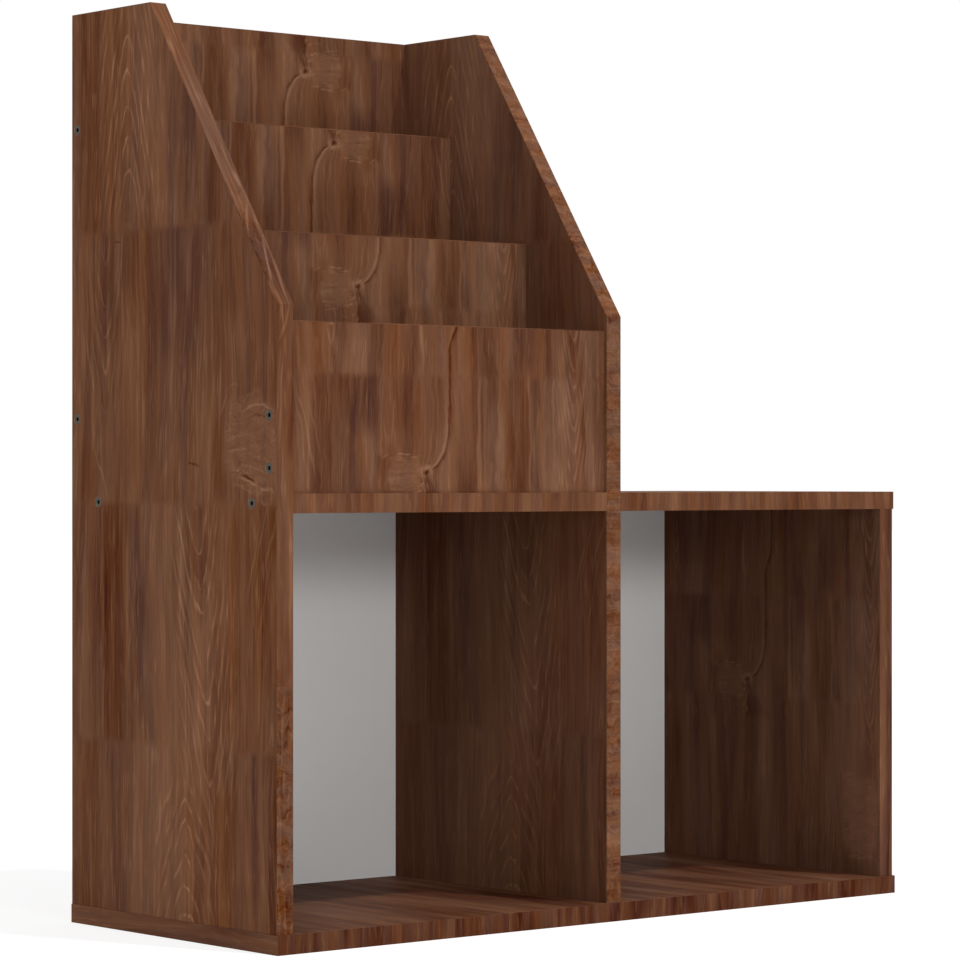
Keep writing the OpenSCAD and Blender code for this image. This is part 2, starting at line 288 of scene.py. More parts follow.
def make_mark():
    """A soft mark along the grain between two heights, leaning to the side as it rises."""
    tree, t, given, out = group("Mark along the grain", [
        ("Across", 0.0), ("Along", 0.0), ("Place", 0.0), ("Half Width", 5.0), ("Low", 0.0), ("High", 100.0),
        ("Lean", 0.0),
    ], [("Mask", "Float")])
    middle = t.times(t.math("ADD", given["Low"], given["High"]), 0.5)
    half = t.times(t.math("SUBTRACT", given["High"], given["Low"]), 0.5)
    fade_from = t.math("SUBTRACT", half, t.math("MINIMUM", t.times(half, 0.7), 45.0))
    rise = t.math("SUBTRACT", given["Along"], middle)
    place = t.math("MULTIPLY_ADD", rise, given["Lean"], given["Place"])
    aside = t.math("ABSOLUTE", t.math("SUBTRACT", given["Across"], place))
    beside = t.spread(aside, t.times(given["Half Width"], 0.35), t.times(given["Half Width"], 1.15), 1.0, 0.0)
    t.feed(out["Mask"], t.times(beside, t.spread(t.math("ABSOLUTE", rise), fade_from, half, 1.0, 0.0)))
    return tree


def make_knot_figure():
    """A knot beside a burl patch, a dark vein that curls out and down from it, and a crack up from it.
    Places are measured from the knot, upright: the patch on the positive side and the vein below."""
    vein_top = 3.0
    vein_out = 29.0
    vein_swing = 20.5
    swing_length = 12
    shade_beside = 2.0
    glow_beside = 3.4
    crack_out = 2.0
    curls_beside = 4.5
    patch_place = 26.0
    patch_height = 3.5
    strip_place = 52.0
    bent_before = 25.0
    bend_length = 11
    tree, t, given, out = group("Knot and vein", [("Across", 0.0), ("Along", 0.0)], [
        ("Light", "Float"), ("Calm", "Float"), ("Bent Across", "Float")])
    shake = t.noise(given["Across"], given["Along"], 2.0, 7, 14)
    x = t.math("ADD", given["Across"], t.times(shake, 0.9))
    z = given["Along"]
    low = t.math("MAXIMUM", t.math("SUBTRACT", t.times(z, -1.0), vein_top), 0.0)
    swing = t.math("EXPONENT", t.times(low, -1 / swing_length))
    from_vein = t.total(x, vein_out, t.times(swing, -vein_swing), t.spread(low, 110.0, 140.0, 0.0, 9.0))
    below = t.spread(z, -5.0, -2.0, 1.0, 0.0)
    thin = t.spread(t.math("ABSOLUTE", from_vein), 0.7, 2.5, 0.50, 0.0)
    shade = t.spread(t.math("ABSOLUTE", t.math("ADD", from_vein, shade_beside)), 0.0, 4.0, 0.2, 0.0)
    glow = t.spread(t.math("ABSOLUTE", t.math("SUBTRACT", from_vein, glow_beside)), 0.4, 3.0, 1.0, 0.0)
    glow = t.times(glow, t.spread(low, 10.0, 75.0, 0.42, 0.10))
    vein = t.times(below, t.math("SUBTRACT", glow, t.math("MAXIMUM", thin, shade)))

    crack_place = t.total(x, crack_out, t.times(shake, 2.0))
    above = t.times(t.spread(z, 1.0, 4.0), t.spread(z, 34.0, 46.0, 1.0, 0.0))
    crack = t.times(t.spread(t.math("ABSOLUTE", crack_place), 0.5, 1.8, -0.26, 0.0), above)
    curl_place = t.total(crack_place, t.times(t.noise(x, z, 8.0, 9, 7), -3.0), -curls_beside)
    curls = t.times(t.spread(t.math("ABSOLUTE", curl_place), 0.5, 1.9, 0.45, 0.0), above,
                    t.spread(t.noise(x, z, 9.0, 12, 6), -0.3, 0.3, 0.2, 1.0))
    beside = t.total(x, z, t.times(shake, 2.5))
    wedge = t.times(t.spread(beside, -1.0, 8.0), t.spread(crack_place, -2.0, 1.5, -0.24, 0.0), above)
    squeezed = t.math("MULTIPLY_ADD", x, 0.30, t.times(z, 0.12))
    stretched = t.math("MULTIPLY_ADD", z, 0.44, t.times(x, -0.10))
    far = t.math("SQRT", t.math("ADD", t.times(squeezed, squeezed), t.times(stretched, stretched)))
    far = t.math("ADD", far, t.times(t.noise(x, z, 12.0, 5, 5), 0.5))
    knot = t.spread(far, 0.3, 1.2, -0.48, 0.0)
    halo = t.times(t.spread(far, 0.9, 1.5), t.spread(far, 1.9, 3.6, 0.46, 0.0),
                   t.spread(z, -1.0, 4.0, 1.0, 0.3))

    patch = t.use(BURL, Across=t.math("SUBTRACT", x, patch_place),
                  Along=t.math("SUBTRACT", z, patch_height), Seed=6.0)
    swirls = add_curls(t, x, z, KNOT_CURLS)
    from_strip = t.math("ABSOLUTE", t.math("SUBTRACT", x, strip_place))
    strip = t.times(t.spread(from_strip, 3.5, 6.0, -0.26, 0.0), t.spread(z, -18.0, -11.0),
                    t.spread(z, 36.0, 52.0, 1.0, 0.0))
    t.feed(out["Light"], t.total(vein, crack, curls, wedge, knot, halo, patch["Light"], swirls, strip))
    away = t.math("MAXIMUM", t.math("SUBTRACT", t.math("ABSOLUTE", z), 3.0), 0.0)
    near = t.math("EXPONENT", t.times(away, -1 / bend_length))
    from_patch = t.math("MINIMUM", t.math("SUBTRACT", x, bent_before), 0.0)
    inside = t.spread(from_vein, -0.5, 0.5)
    between = t.times(inside, near, below, t.spread(x, -30.0, 20.0, 1.0, 0.0))
    t.feed(out["Calm"], t.math("MAXIMUM", patch["Mask"], between))
    t.feed(out["Bent Across"], t.math("MULTIPLY_ADD", t.times(from_patch, inside, 0.36), near, x))
    return tree


# Short curls across the grain, as place, height, half width, rise, tilt, half thickness and how much paler.
# Those of the knot are measured from it, upright, and those of the tall sides from the rack's front and its
# underside.
KNOT_CURLS = [
    (26, -17.5, 10, 0.8, -0.5, 0.9, 0.55), (48, -15, 4, 0, 3, 1.0, 0.42), (11, -15.5, 6, 1.5, 0, 0.9, 0.24),
    (4, 25, 4, 2, 3.5, 1.3, 0.44), (9, 20, 5, -2, 2, 1.3, 0.46), (15, 27, 6, 3, -1.5, 1.0, 0.30),
    (6, 11, 4, 2, 2, 1.2, 0.34), (-3, -7, 5, 2, 3, 1.2, 0.38), (-6, -14, 3, 2, 4, 1.1, 0.26),
    (32, 22, 12, 1.0, 1.5, 1.0, 0.24), (37, 15, 9, 1.4, -1.0, 0.9, 0.20), (27, 12, 10, 1.2, 1.5, 0.9, -0.18),
    (31, -2, 10, 1.5, -1, 0.9, 0.14), (34, -10, 8, 1, -1, 0.9, -0.14),
]
SIDE_CURLS = [
    (32, 488, 28, 10, -1, 1.5, 0.46), (30, 482, 20, 6, 1, 1.3, -0.26), (72, 511, 13, 5, -4, 1.2, 0.24),
    (60, 467, 22, 3, -2, 1.3, 0.26), (62, 456, 18, 1, -1, 1.4, 0.30), (47, 431, 13, 0.5, 3.8, 1.3, -0.70),
    (48, 428, 16, 0.5, 3.8, 1.4, 0.34), (36, 438, 22, 2, 5, 1.3, 0.30), (32, 425, 20, -2, 6, 1.3, 0.28),
    (54, 421, 15, 1, 5, 1.3, 0.26), (64, 437, 10, 1, 3, 1.2, 0.22), (18, 417, 14, 4, 0, 2.0, 0.42),
    (22, 411, 6, -4, 2, 1.6, 0.34), (131, 443, 12, 1, 2, 1.4, -0.42), (256, 655, 7, 1, 1, 1.1, -0.36),
]


def add_curls(t, across, along, curls):
    """The sum of the curls' paleness."""
    waved = t.math("ADD", along, t.noise(across, along, 9.0, 8, 6))
    light = 0.0
    for place, height, half_width, rise, tilt, thickness, paler in curls:
        curl = t.use(CURL, Across=across, Along=waved, Place=float(place), Height=float(height),
                     Half_Width=float(half_width), Rise=float(rise), Tilt=float(tilt), Thickness=thickness)
        light = t.math("MULTIPLY_ADD", curl["Mask"], paler, light)
    return light


# Broad marks of the two printed sheets, for each length between joins: the height that it ends at, then its
# marks as place, half width, low and high end, lean, and how much paler and warmer.
# On the tall sides the places are measured from the rack's front and its underside.
SIDE_LENGTHS = [
    (180, [
        (186, 62, -90, 260, 0.0, 0.26, -0.04), (8, 11, -90, 260, 0.0, -0.24, 0.04),
        (37, 4.5, 20, 230, 0.0, -0.20, -0.20), (27, 4, -10, 230, 0.0, 0.16, 0.0),
        (53, 12, 40, 230, 0.0, 0.16, 0.0), (126, 34, 110, 290, 0.0, 0.14, 0.0),
        (82, 20, -90, 170, 0.0, -0.12, 0.14), (112, 40, -90, 260, 0.0, 0.0, 0.14),
        (256, 12, -60, 200, 0.06, -0.18, -0.20), (228, 11, -60, 180, 0.0, 0.14, -0.06),
        (304, 20, -90, 260, 0.0, -0.16, 0.08),
    ]),
    (407, [
        (264, 25, 100, 480, 0.0, -0.24, 0.06), (284, 22, 280, 480, 0.0, -0.15, 0.0),
        (322, 8, 170, 320, 0.0, 0.14, 0.0), (190, 44, 120, 310, 0.0, 0.10, 0.0),
        (34, 12, 220, 390, 0.0, -0.16, 0.03), (8, 9, 330, 450, 0.0, -0.16, 0.0),
        (219, 14, 160, 430, 0.12, -0.13, -0.18), (240, 3, 190, 400, 0.08, 0.14, 0.0),
        (168, 40, 100, 480, 0.15, 0.24, -0.02), (120, 24, 130, 350, 0.0, 0.20, 0.06),
        (70, 12, 190, 420, 0.0, -0.13, 0.06), (18, 20, 220, 480, 0.0, -0.12, 0.04),
        (56, 62, 100, 480, 0.0, 0.02, 0.12), (312, 9, 130, 380, 0.0, 0.14, -0.04),
        (38, 1.6, 310, 400, -0.3, 0.3, 0.0), (27, 1.5, 330, 420, -0.3, 0.3, 0.0),
        (20, 1.6, 280, 370, -0.25, 0.26, 0.0), (12, 1.5, 340, 410, -0.3, 0.28, 0.0),
    ]),
    (666, [
        (155, 50, 520, 760, 0.0, -0.15, -0.18), (270, 24, 540, 720, 0.0, -0.10, -0.06),
        (228, 12, 380, 590, 0.0, 0.12, 0.06), (118, 18, 380, 530, 0.0, 0.16, -0.02),
        (226, 26, 560, 740, 0.0, -0.15, 0.14),
        (93, 10, 405, 500, 0.0, -0.16, 0.04), (8, 10, 480, 640, 0.0, -0.20, 0.12),
        (72, 22, 560, 720, 0.0, -0.20, 0.06), (32, 22, 395, 440, 0.0, 0.14, 0.0),
        (160, 24, 440, 560, 0.0, -0.04, -0.14), (306, 18, 396, 476, 0.0, -0.14, 0.08),
        (285, 1.8, 406, 470, 0.55, 0.34, 0.0), (84, 2.0, 486, 514, -0.45, 0.36, 0.0),
    ]),
    (999, [
        (302, 24, 600, 990, 0.0, -0.22, 0.04), (262, 24, 600, 990, 0.0, -0.02, 0.14),
        (153, 9, 720, 840, 0.0, -0.06, -0.16),
        (205, 32, 640, 990, 0.20, 0.24, 0.0), (138, 11, 660, 840, 0.0, -0.20, -0.22),
        (168, 7, 620, 790, 0.0, -0.06, -0.14), (101, 15, 600, 780, 0.0, -0.22, 0.04),
    ]),
]
# On the display boards and the right side they are measured from the knot, with the sheet upright.
KNOT_LENGTHS = [
    (-90, [
        (-121, 13, -190, -80, 0.0, -0.20, -0.18), (36, 21, -220, -60, 0.0, -0.20, 0.06),
        (82, 22, -220, -60, 0.0, 0.20, -0.12), (6, 2.7, -190, -84, 0.0, 0.42, 0.0),
        (-54, 10, -220, -60, 0.0, -0.05, 0.06), (-212, 20, -220, -60, 0.0, 0.14, -0.12),
        (140, 18, -220, -60, 0.0, -0.10, 0.04), (118, 14, -220, -60, 0.0, -0.14, 0.04),
        (-30, 9, -160, -60, 0.0, -0.16, 0.04), (-232, 9, -220, -60, 0.0, 0.20, -0.10),
    ]),
    (19, [
        (-65, 2.9, -140, 60, 0.0, 0.42, 0.0), (-84, 13, -90, 60, 0.0, 0.22, -0.08),
        (-111, 18, -140, 60, 0.0, -0.18, 0.03), (-128, 2.0, -140, 60, 0.0, 0.36, 0.0),
        (-136, 5, -140, 60, 0.0, -0.22, -0.20), (-164, 28, -120, 70, 0.0, 0.22, -0.10),
        (-42, 14, -140, 60, 0.0, -0.07, 0.0), (9, 9, -110, -2, 0.0, -0.05, 0.05),
        (65, 8, -48, 16, 0.0, 0.28, -0.05), (76, 18, -110, -24, 0.0, -0.20, -0.18),
        (98, 20, -80, 50, 0.0, -0.06, -0.12), (107, 5, -140, 50, 0.0, 0.08, 0.14),
        (121, 9, -140, 50, 0.0, -0.14, -0.04), (139, 8, -140, 60, 0.04, 0.16, 0.0),
        (-212, 11, -140, 60, 0.0, 0.12, -0.10), (-244, 18, -140, 60, 0.0, -0.14, 0.2),
        (60, 120, -130, -20, 0.0, -0.10, 0.0), (29, 11, -140, -30, 0.0, -0.08, -0.03),
        (62, 32, -15, 60, 0.0, 0.12, 0.0), (-22, 16, -130, -30, 0.0, -0.10, 0.02),
        (140, 1.4, -100, 25, -0.25, 0.30, 0.0), (148, 1.3, -110, 20, -0.15, 0.28, 0.0),
        (131, 1.3, -70, -10, -0.3, 0.24, 0.0), (125, 1.4, -75, -30, 0.2, 0.22, 0.0),
        (108, 36, -140, 60, 0.0, -0.13, -0.04), (-66, 24, -70, 50, 0.0, 0.08, 0.0),
    ]),
    (999, [
        (-32, 13, -30, 250, 0.0, 0.14, -0.06), (-9, 13, 6, 250, 0.0, -0.16, 0.04),
        (64, 18, -30, 250, 0.0, 0.14, -0.06), (112, 16, -30, 250, 0.0, -0.14, 0.08),
        (-196, 15, -30, 110, 0.0, -0.16, 0.04),
    ]),
]


def add_marks(t, across, along, marks):
    """The sums of the marks' paleness and warmth."""
    waved = t.math("ADD", across, t.times(t.noise(across, along, 7.0, 14, 60), 3.0))
    light, warm = 0.0, 0.0
    for place, half_width, low, high, lean, paler, warmer in marks:
        mask = t.use(MARK, Across=waved, Along=along, Place=float(place), Half_Width=float(half_width),
                     Low=float(low), High=float(high), Lean=lean)["Mask"]
        light = t.math("MULTIPLY_ADD", mask, paler, light)
        if warmer:
            warm = t.math("MULTIPLY_ADD", mask, warmer, warm)
    return light, warm


def add_lengths(t, across, along, lengths):
    """The marks of each length of a sheet between its frayed joins, a number that changes from length to
    length, and how near a join is."""
    fray_width = 2.2
    fray_height = 4.0
    half_overlap = 5.0
    step_at_join = 3.7
    frayed = t.math("ADD", along, t.times(t.noise(across, 0.0, 5.0, fray_width, 1.0), fray_height))
    light, warm, join, near = 0.0, 0.0, 0.0, 0.0
    after = 1.0
    for top, marks in lengths:
        beyond = t.math("GREATER_THAN", frayed, float(top))
        crossed = t.spread(frayed, top - half_overlap, top + half_overlap)
        here = t.math("SUBTRACT", after, crossed)
        paler, warmer = add_marks(t, across, along, marks)
        light = t.math("MULTIPLY_ADD", paler, here, light)
        warm = t.math("MULTIPLY_ADD", warmer, here, warm)
        join = t.math("MULTIPLY_ADD", beyond, step_at_join, join)
        away = t.math("ABSOLUTE", t.math("SUBTRACT", along, float(top)))
        near = t.math("MAXIMUM", near, t.spread(away, 1.0, 7.0, 0.7, 0.0))
        after = crossed
    return light, warm, join, near


SHEET_OUTPUTS = [(label, "Float") for label in ("Light", "Warm", "Calm", "Join", "Bent Across")]


def add_arches(t, across, along, axis, low, high, strength, **look):
    """Arches along one axis between two heights, as a change of paleness."""
    fade = 20.0
    tone_strength = 0.10
    arches = t.use(ARCHES, Across=t.math("SUBTRACT", across, axis), Along=along, **look)
    part = t.times(t.spread(along, low - fade, low + fade),
                   t.spread(along, high - fade, high + fade, 1.0, 0.0))
    light = t.math("MULTIPLY_ADD", arches["Lines"], strength, t.times(arches["Tone"], tone_strength))
    return t.times(light, part)


def make_side_sheet():
    """The printed sheet of both tall sides, placed from the rack's front and its underside."""
    # Arches turn far above or far below the board, so each row points one way
    points_up = 1200.0
    points_down = -400.0
    tree, t, given, out = group("Tall side sheet", [("Across", 0.0), ("Along", 0.0)], SHEET_OUTPUTS)
    across, along = given["Across"], given["Along"]
    leaning_axis = t.spread(along, 195.0, 395.0, 107.0, 127.0, smooth=False)
    foot = add_arches(t, across, along, axis=144.0, low=-60.0, high=140.0, strength=0.62, Seed=4.0,
                      Turn=points_up, Spacing=26.0, Reach=60.0, Width=12.0, Slope=2.6)
    middle = add_arches(t, across, along, axis=leaning_axis, low=140.0, high=400.0, strength=0.62, Seed=6.0,
                        Turn=points_down, Spacing=34.0, Reach=58.0, Width=10.0, Slope=4.0)
    flame = add_arches(t, across, along, axis=278.0, low=500.0, high=650.0, strength=0.38, Seed=11.0,
                       Turn=points_down, Spacing=38.0, Reach=44.0, Width=9.0, Slope=5.0)
    top = add_arches(t, across, along, axis=239.0, low=680.0, high=999.0, strength=0.62, Seed=9.0,
                     Turn=points_up, Spacing=34.0, Reach=60.0, Width=9.0, Slope=4.2)
    light, warm, join, near = add_lengths(t, across, along, SIDE_LENGTHS)
    burl_place = 43.0
    burl_height = 462.0
    burl = t.use(BURL, Across=t.math("SUBTRACT", across, burl_place),
                 Along=t.math("SUBTRACT", along, burl_height), Half_Width=44.0, Half_Length=46.0, Seed=3.0,
                 Paler=0.22, Edge=0.15, Square=2.6, Flow=6.0)
    curls = add_curls(t, across, along, SIDE_CURLS)
    t.feed(out["Light"], t.total(light, burl["Light"], foot, middle, flame, top, curls))
    t.feed(out["Warm"], warm)
    t.feed(out["Calm"], t.math("MAXIMUM", near, burl["Mask"]))
    t.feed(out["Join"], join)
    t.feed(out["Bent Across"], across)
    return tree


def make_knot_sheet():
    """The printed sheet of the display boards and the right side, placed from its knot."""
    tree, t, given, out = group("Knot sheet", [("Across", 0.0), ("Along", 0.0)], SHEET_OUTPUTS)
    across, along = given["Across"], given["Along"]
    figure = t.use(KNOT_FIGURE, Across=across, Along=along)
    points_up = 600.0
    nested = add_arches(t, across, along, axis=-183.0, low=-200.0, high=60.0, strength=0.45, Seed=5.0,
                        Turn=points_up, Spacing=24.0, Reach=28.0, Width=8.0, Slope=7.0)
    flame = add_arches(t, across, along, axis=112.0, low=-250.0, high=-105.0, strength=0.5, Seed=15.0,
                       Turn=points_up, Spacing=17.0, Reach=13.0, Width=4.0, Slope=7.0)
    patch_place = -168.0
    patch_height = 136.0
    patch = t.use(BURL, Across=t.math("SUBTRACT", across, patch_place),
                  Along=t.math("SUBTRACT", along, patch_height), Half_Width=28.0, Half_Length=44.0, Seed=8.0,
                  Paler=0.30)
    light, warm, join, near = add_lengths(t, across, along, KNOT_LENGTHS)
    patches = t.math("MAXIMUM", figure["Calm"], patch["Mask"])
    calm = t.math("MAXIMUM", t.math("MAXIMUM", near, 0.15), patches)
    t.feed(out["Light"], t.total(light, figure["Light"], patch["Light"], nested, flame))
    t.feed(out["Warm"], warm)
    t.feed(out["Calm"], calm)
    t.feed(out["Join"], join)
    t.feed(out["Bent Across"], figure["Bent Across"])
    return tree


# How much each layer of the print pales the walnut, and what takes the fine layers back to a middle tone
BROAD_BANDS = 0.24
WIDE_BANDS = 0.14
PLANKS = 0.10
NARROW_BANDS = 0.16
FIBRES = 0.055
HAIRS = 0.26
STROKES = 0.30
PORES = -0.07
FINE_MIDDLE = -0.065
# How much the slow change of hue and the planks warm it
HUE_WARMTH = 0.10
PLANK_WARMTH = 0.12


def make_decor():
    """The printed walnut: bands, fibres, light strokes and pores, with what a sheet adds to them."""
    tree, t, given, out = group("Walnut decor", [
        ("Across", 0.0), ("Along", 0.0), ("Seed", 0.0), ("Join", 0.0), ("Light", 0.0), ("Warm", 0.0),
        ("Calm", 0.0), ("Bands", 1.0), ("Strokes", 1.0), ("Contrast", 1.0), ("Hues", 1.0),
    ], [("Color", "Color"), ("Roughness", "Float"), ("Height", "Float")])
    along, seed = given["Along"], given["Seed"]
    piece = t.math("ADD", seed, given["Join"])

    def sheet(step, start=piece):
        """The number of another sheet of noise."""
        return t.math("ADD", start, step)

    wander = t.times(t.noise(given["Across"], along, sheet(1.0, seed), 90, 240, detail=0), 5.0)
    ripple = t.times(t.noise(given["Across"], along, sheet(2.0), 12, 38), 1.0)
    across = t.total(given["Across"], wander, ripple)

    broad = t.noise(across, along, sheet(11.0, seed), 44, 210, detail=0)
    wide = t.spread(t.noise(across, along, sheet(12.0, seed), 16, 170), -0.55, 0.55, -1.0, 1.0)
    narrow = t.noise(across, along, sheet(13.0), 6.5, 95, detail=2, roughness=0.6)
    narrow = t.math("MULTIPLY_ADD", t.times(narrow, narrow), 0.5, narrow)
    fibre = t.noise(across, along, sheet(14.0), 1.8, 30, roughness=0.6)
    hair = t.spread(t.noise(across, along, sheet(24.0), 3.2, 130), 0.15, 0.95)
    clusters = t.spread(t.noise(across, along, sheet(27.0), 22, 60, detail=0), -0.5, 0.5, 0.15, 1.0)
    strokes = t.times(t.spread(t.noise(across, along, sheet(26.0), 2.2, 26, detail=0), 0.3, 1.0), clusters)
    pores = t.spread(t.noise(across, along, sheet(25.0), 0.8, 10, detail=0), 0.4, 0.9)
    plank = t.spread(t.noise(across, along, sheet(15.0, seed), 13, 300, detail=0), -0.14, 0.14, -0.5, 0.5)
    bands = t.times(t.math("MULTIPLY_ADD", wide, WIDE_BANDS, t.times(broad, BROAD_BANDS)), given["Bands"])
    bands = t.math("MULTIPLY_ADD", plank, PLANKS, bands)
    bands = t.times(bands, t.spread(given["Calm"], 0.7, 1.0, 1.0, 0.3))
    drawn = t.times(t.math("MULTIPLY_ADD", strokes, STROKES, t.times(hair, HAIRS)), given["Strokes"])
    fine = t.total(t.times(narrow, NARROW_BANDS), t.times(fibre, FIBRES), t.times(pores, PORES), drawn,
                   FINE_MIDDLE)
    plain = t.math("SUBTRACT", 1.0, t.times(given["Calm"], 0.85))
    paler = t.times(t.total(bands, t.times(fine, plain), given["Light"]), given["Contrast"])
    hue = t.noise(across, along, sheet(21.0, seed), 15, 190, detail=2.5, roughness=0.6)
    warmer = t.total(t.times(hue, HUE_WARMTH), t.times(plank, PLANK_WARMTH), given["Warm"])
    warmer = t.times(warmer, given["Hues"])

    gain = t.add("ShaderNodeVectorMath", {0: paler, 1: PALER, 2: (1.0, 1.0, 1.0)}, operation="MULTIPLY_ADD")
    gain = t.add("ShaderNodeVectorMath", {0: warmer, 1: WARMER, 2: gain.outputs[0]}, operation="MULTIPLY_ADD")
    gain = t.add("ShaderNodeVectorMath", {0: gain.outputs[0], 1: DARKEST}, operation="MAXIMUM")
    tint = t.add("ShaderNodeVectorMath", {0: gain.outputs[0], 1: WALNUT[:3]}, operation="MULTIPLY")
    t.feed(out["Color"], tint.outputs[0])
    t.feed(out["Roughness"], t.math("ADD", t.times(narrow, 0.03), VARNISH_ROUGHNESS))
    t.feed(out["Height"], t.total(t.times(fibre, 0.5), t.times(pores, -0.8)))
    return tree


def make_chipboard():
    """The sawn edge of the chipboard: pale and dark flakes, with fine dust and small sunken holes whose
    darker colour is painted shade.
    """
    tree, t, given, out = group("Chipboard edge", [
        ("X", 0.0), ("Y", 0.0), ("Z", 0.0),
    ], [("Color", "Color"), ("Height", "Float")])
    place = t.vector(given["X"], given["Y"], given["Z"])
    flakes = t.add("ShaderNodeTexVoronoi", {"Vector": place, "Scale": 0.45, "Randomness": 1.0})
    shade = t.add("ShaderNodeSeparateColor", {"Color": flakes.outputs["Color"]}).outputs[0]
    dust = t.add("ShaderNodeTexNoise", {"Vector": place, "Scale": 1.6, "Detail": 3.0}).outputs["Fac"]
    holes_with_painted_shade = t.spread(dust, 0.30, 0.42, 0.55, 1.0)
    tint = t.mix(t.total(t.times(shade, 0.6), t.times(dust, 0.5), -0.1), CHIP_DARK, CHIP_LIGHT)
    # The holes are darkened in colour: painted shade inside them
    t.feed(out["Color"], t.brighten(tint, t.math("SUBTRACT", holes_with_painted_shade, 1.0)))
    t.feed(out["Height"], t.math("ADD", t.times(shade, 0.4), holes_with_painted_shade))
    return tree


ARCHES = make_arches()
BURL = make_burl()
CURL = make_curl()
BARK = make_bark()
MARK = make_mark()
KNOT_FIGURE = make_knot_figure()
SIDE_SHEET = make_side_sheet()
KNOT_SHEET = make_knot_sheet()
DECOR = make_decor()
CHIPBOARD = make_chipboard()


def emptied(holder):
    """The tree of a material or a world, with no nodes in it yet."""
    holder.use_nodes = True
    holder.node_tree.nodes.clear()
    return Tree(holder.node_tree)


def material(name):
    """A new material with its tree and its Principled shader."""
    finish = bpy.data.materials.new(name)
    t = emptied(finish)
    shader = t.add("ShaderNodeBsdfPrincipled")
    t.add("ShaderNodeOutputMaterial", {"Surface": shader.outputs[0]})
    return finish, t, shader


def dress(node_name, finish):
    mesh = NODES[node_name].data
    mesh.materials.clear()
    mesh.materials.append(finish)


def soften(node_name, radius):
    """Rounds a CAD piece's sharp edges a little, without touching its mesh."""
    piece = NODES[node_name]
    weld = piece.modifiers.new("Weld", "WELD")
    weld.merge_threshold = WELD_GAP
    bevel = piece.modifiers.new("Bevel", "BEVEL")
    bevel.width = radius
    bevel.segments = 2
    bevel.limit_method = "ANGLE"
    bevel.angle_limit = math.radians(SHARP_FROM)


def axes_of(t, origin):
    """Object place in millimetres from origin, as three values by axis letter."""
    where = t.add("ShaderNodeTexCoord").outputs["Object"]
    apart = t.add("ShaderNodeSeparateXYZ", {"Vector": where})
    return {
        letter: t.times(t.math("SUBTRACT", apart.outputs[letter], low), 1 / MM)
        for letter, low in zip(AXES, origin)
    }


def normal_along(t, letter):
    """The part of the surface's normal that lies along this axis, from -1 to 1."""
    normal = t.add("ShaderNodeTexCoord").outputs["Normal"]
    return t.add("ShaderNodeSeparateXYZ", {"Vector": normal}).outputs[letter]


def facing(t, letter):
    """1 where the surface faces along this axis, either way."""
    return t.math("GREATER_THAN", t.math("ABSOLUTE", normal_along(t, letter)), FACES_FROM)


def finish_walnut(t, shader, tint, decor):
    """The printed and varnished surface."""
    t.feed(shader.inputs["Base Color"], tint)
    bump = t.add("ShaderNodeBump", {
        "Height": decor["Height"], "Strength": BUMP_STRENGTH, "Distance": GRAIN_DEPTH})
    t.feed(shader.inputs["Roughness"], decor["Roughness"])
    t.feed(shader.inputs["Normal"], bump.outputs[0])
    shader.inputs["Specular IOR Level"].default_value = VARNISH_SPECULAR


def knot_sheet(knot, across_way, along_way):
    """The knot sheet with its knot at this place on the board, turned or mirrored by the two ways."""
    def sheet(t, across, along):
        x = t.times(t.math("SUBTRACT", across, float(knot[0])), across_way)
        z = t.times(t.math("SUBTRACT", along, float(knot[1])), along_way)
        return t.use(KNOT_SHEET, Across=x, Along=z), z
    return sheet


def side_sheet(t, across, along):
    """The tall sides' sheet, fed with the place from the rack's front and from its underside."""
    low_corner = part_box("left_side")[0]
    from_front = (low_corner[1] - cad_bounds[0][1]) / MM
    from_underside = (low_corner[2] - cad_bounds[0][2]) / MM
    along = t.math("ADD", along, from_underside)
    return t.use(SIDE_SHEET, Across=t.math("ADD", across, from_front), Along=along), along


def board_finish(node_name, face, grain, seed, sheet=None, bands=0.8, lift=0.0, warmth=0.0, contrast=1.0,
                 hues=1.0, painted_light_and_shade=()):
    """Walnut on a board's two faces and bare chipboard on its edges. Face and grain are axis letters, and the
    board's own marks, which are painted light and shade, are measured from its low corner."""
    side = next(letter for letter in AXES if letter not in (face, grain))
    finish, t, shader = material(node_name + "_walnut")
    place = axes_of(t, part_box(node_name)[0])
    marks = dict(Across=place[side], Along=place[grain], Light=lift, Warm=warmth)
    if sheet:
        printed, along = sheet(t, place[side], place[grain])
        marks = dict(Across=printed["Bent Across"], Along=along, Join=printed["Join"], Calm=printed["Calm"],
                     Light=t.math("ADD", printed["Light"], lift), Warm=t.math("ADD", printed["Warm"], warmth))
    # Painted light and shade: marks that make parts of this board paler or darker where light falls more or
    # less on it
    if painted_light_and_shade:
        light, warm = add_marks(t, place[side], place[grain], painted_light_and_shade)
        marks["Light"] = t.math("ADD", marks["Light"], light)
        marks["Warm"] = t.math("ADD", marks["Warm"], warm)
    decor = t.use(DECOR, Seed=seed, Bands=bands, Contrast=contrast, Hues=hues, **marks)
    chips = t.use(CHIPBOARD, **place)
    finish_walnut(t, shader, t.mix(facing(t, face), chips["Color"], decor["Color"]), decor)
    dress(node_name, finish)
    soften(node_name, BOARD_ROUNDING)


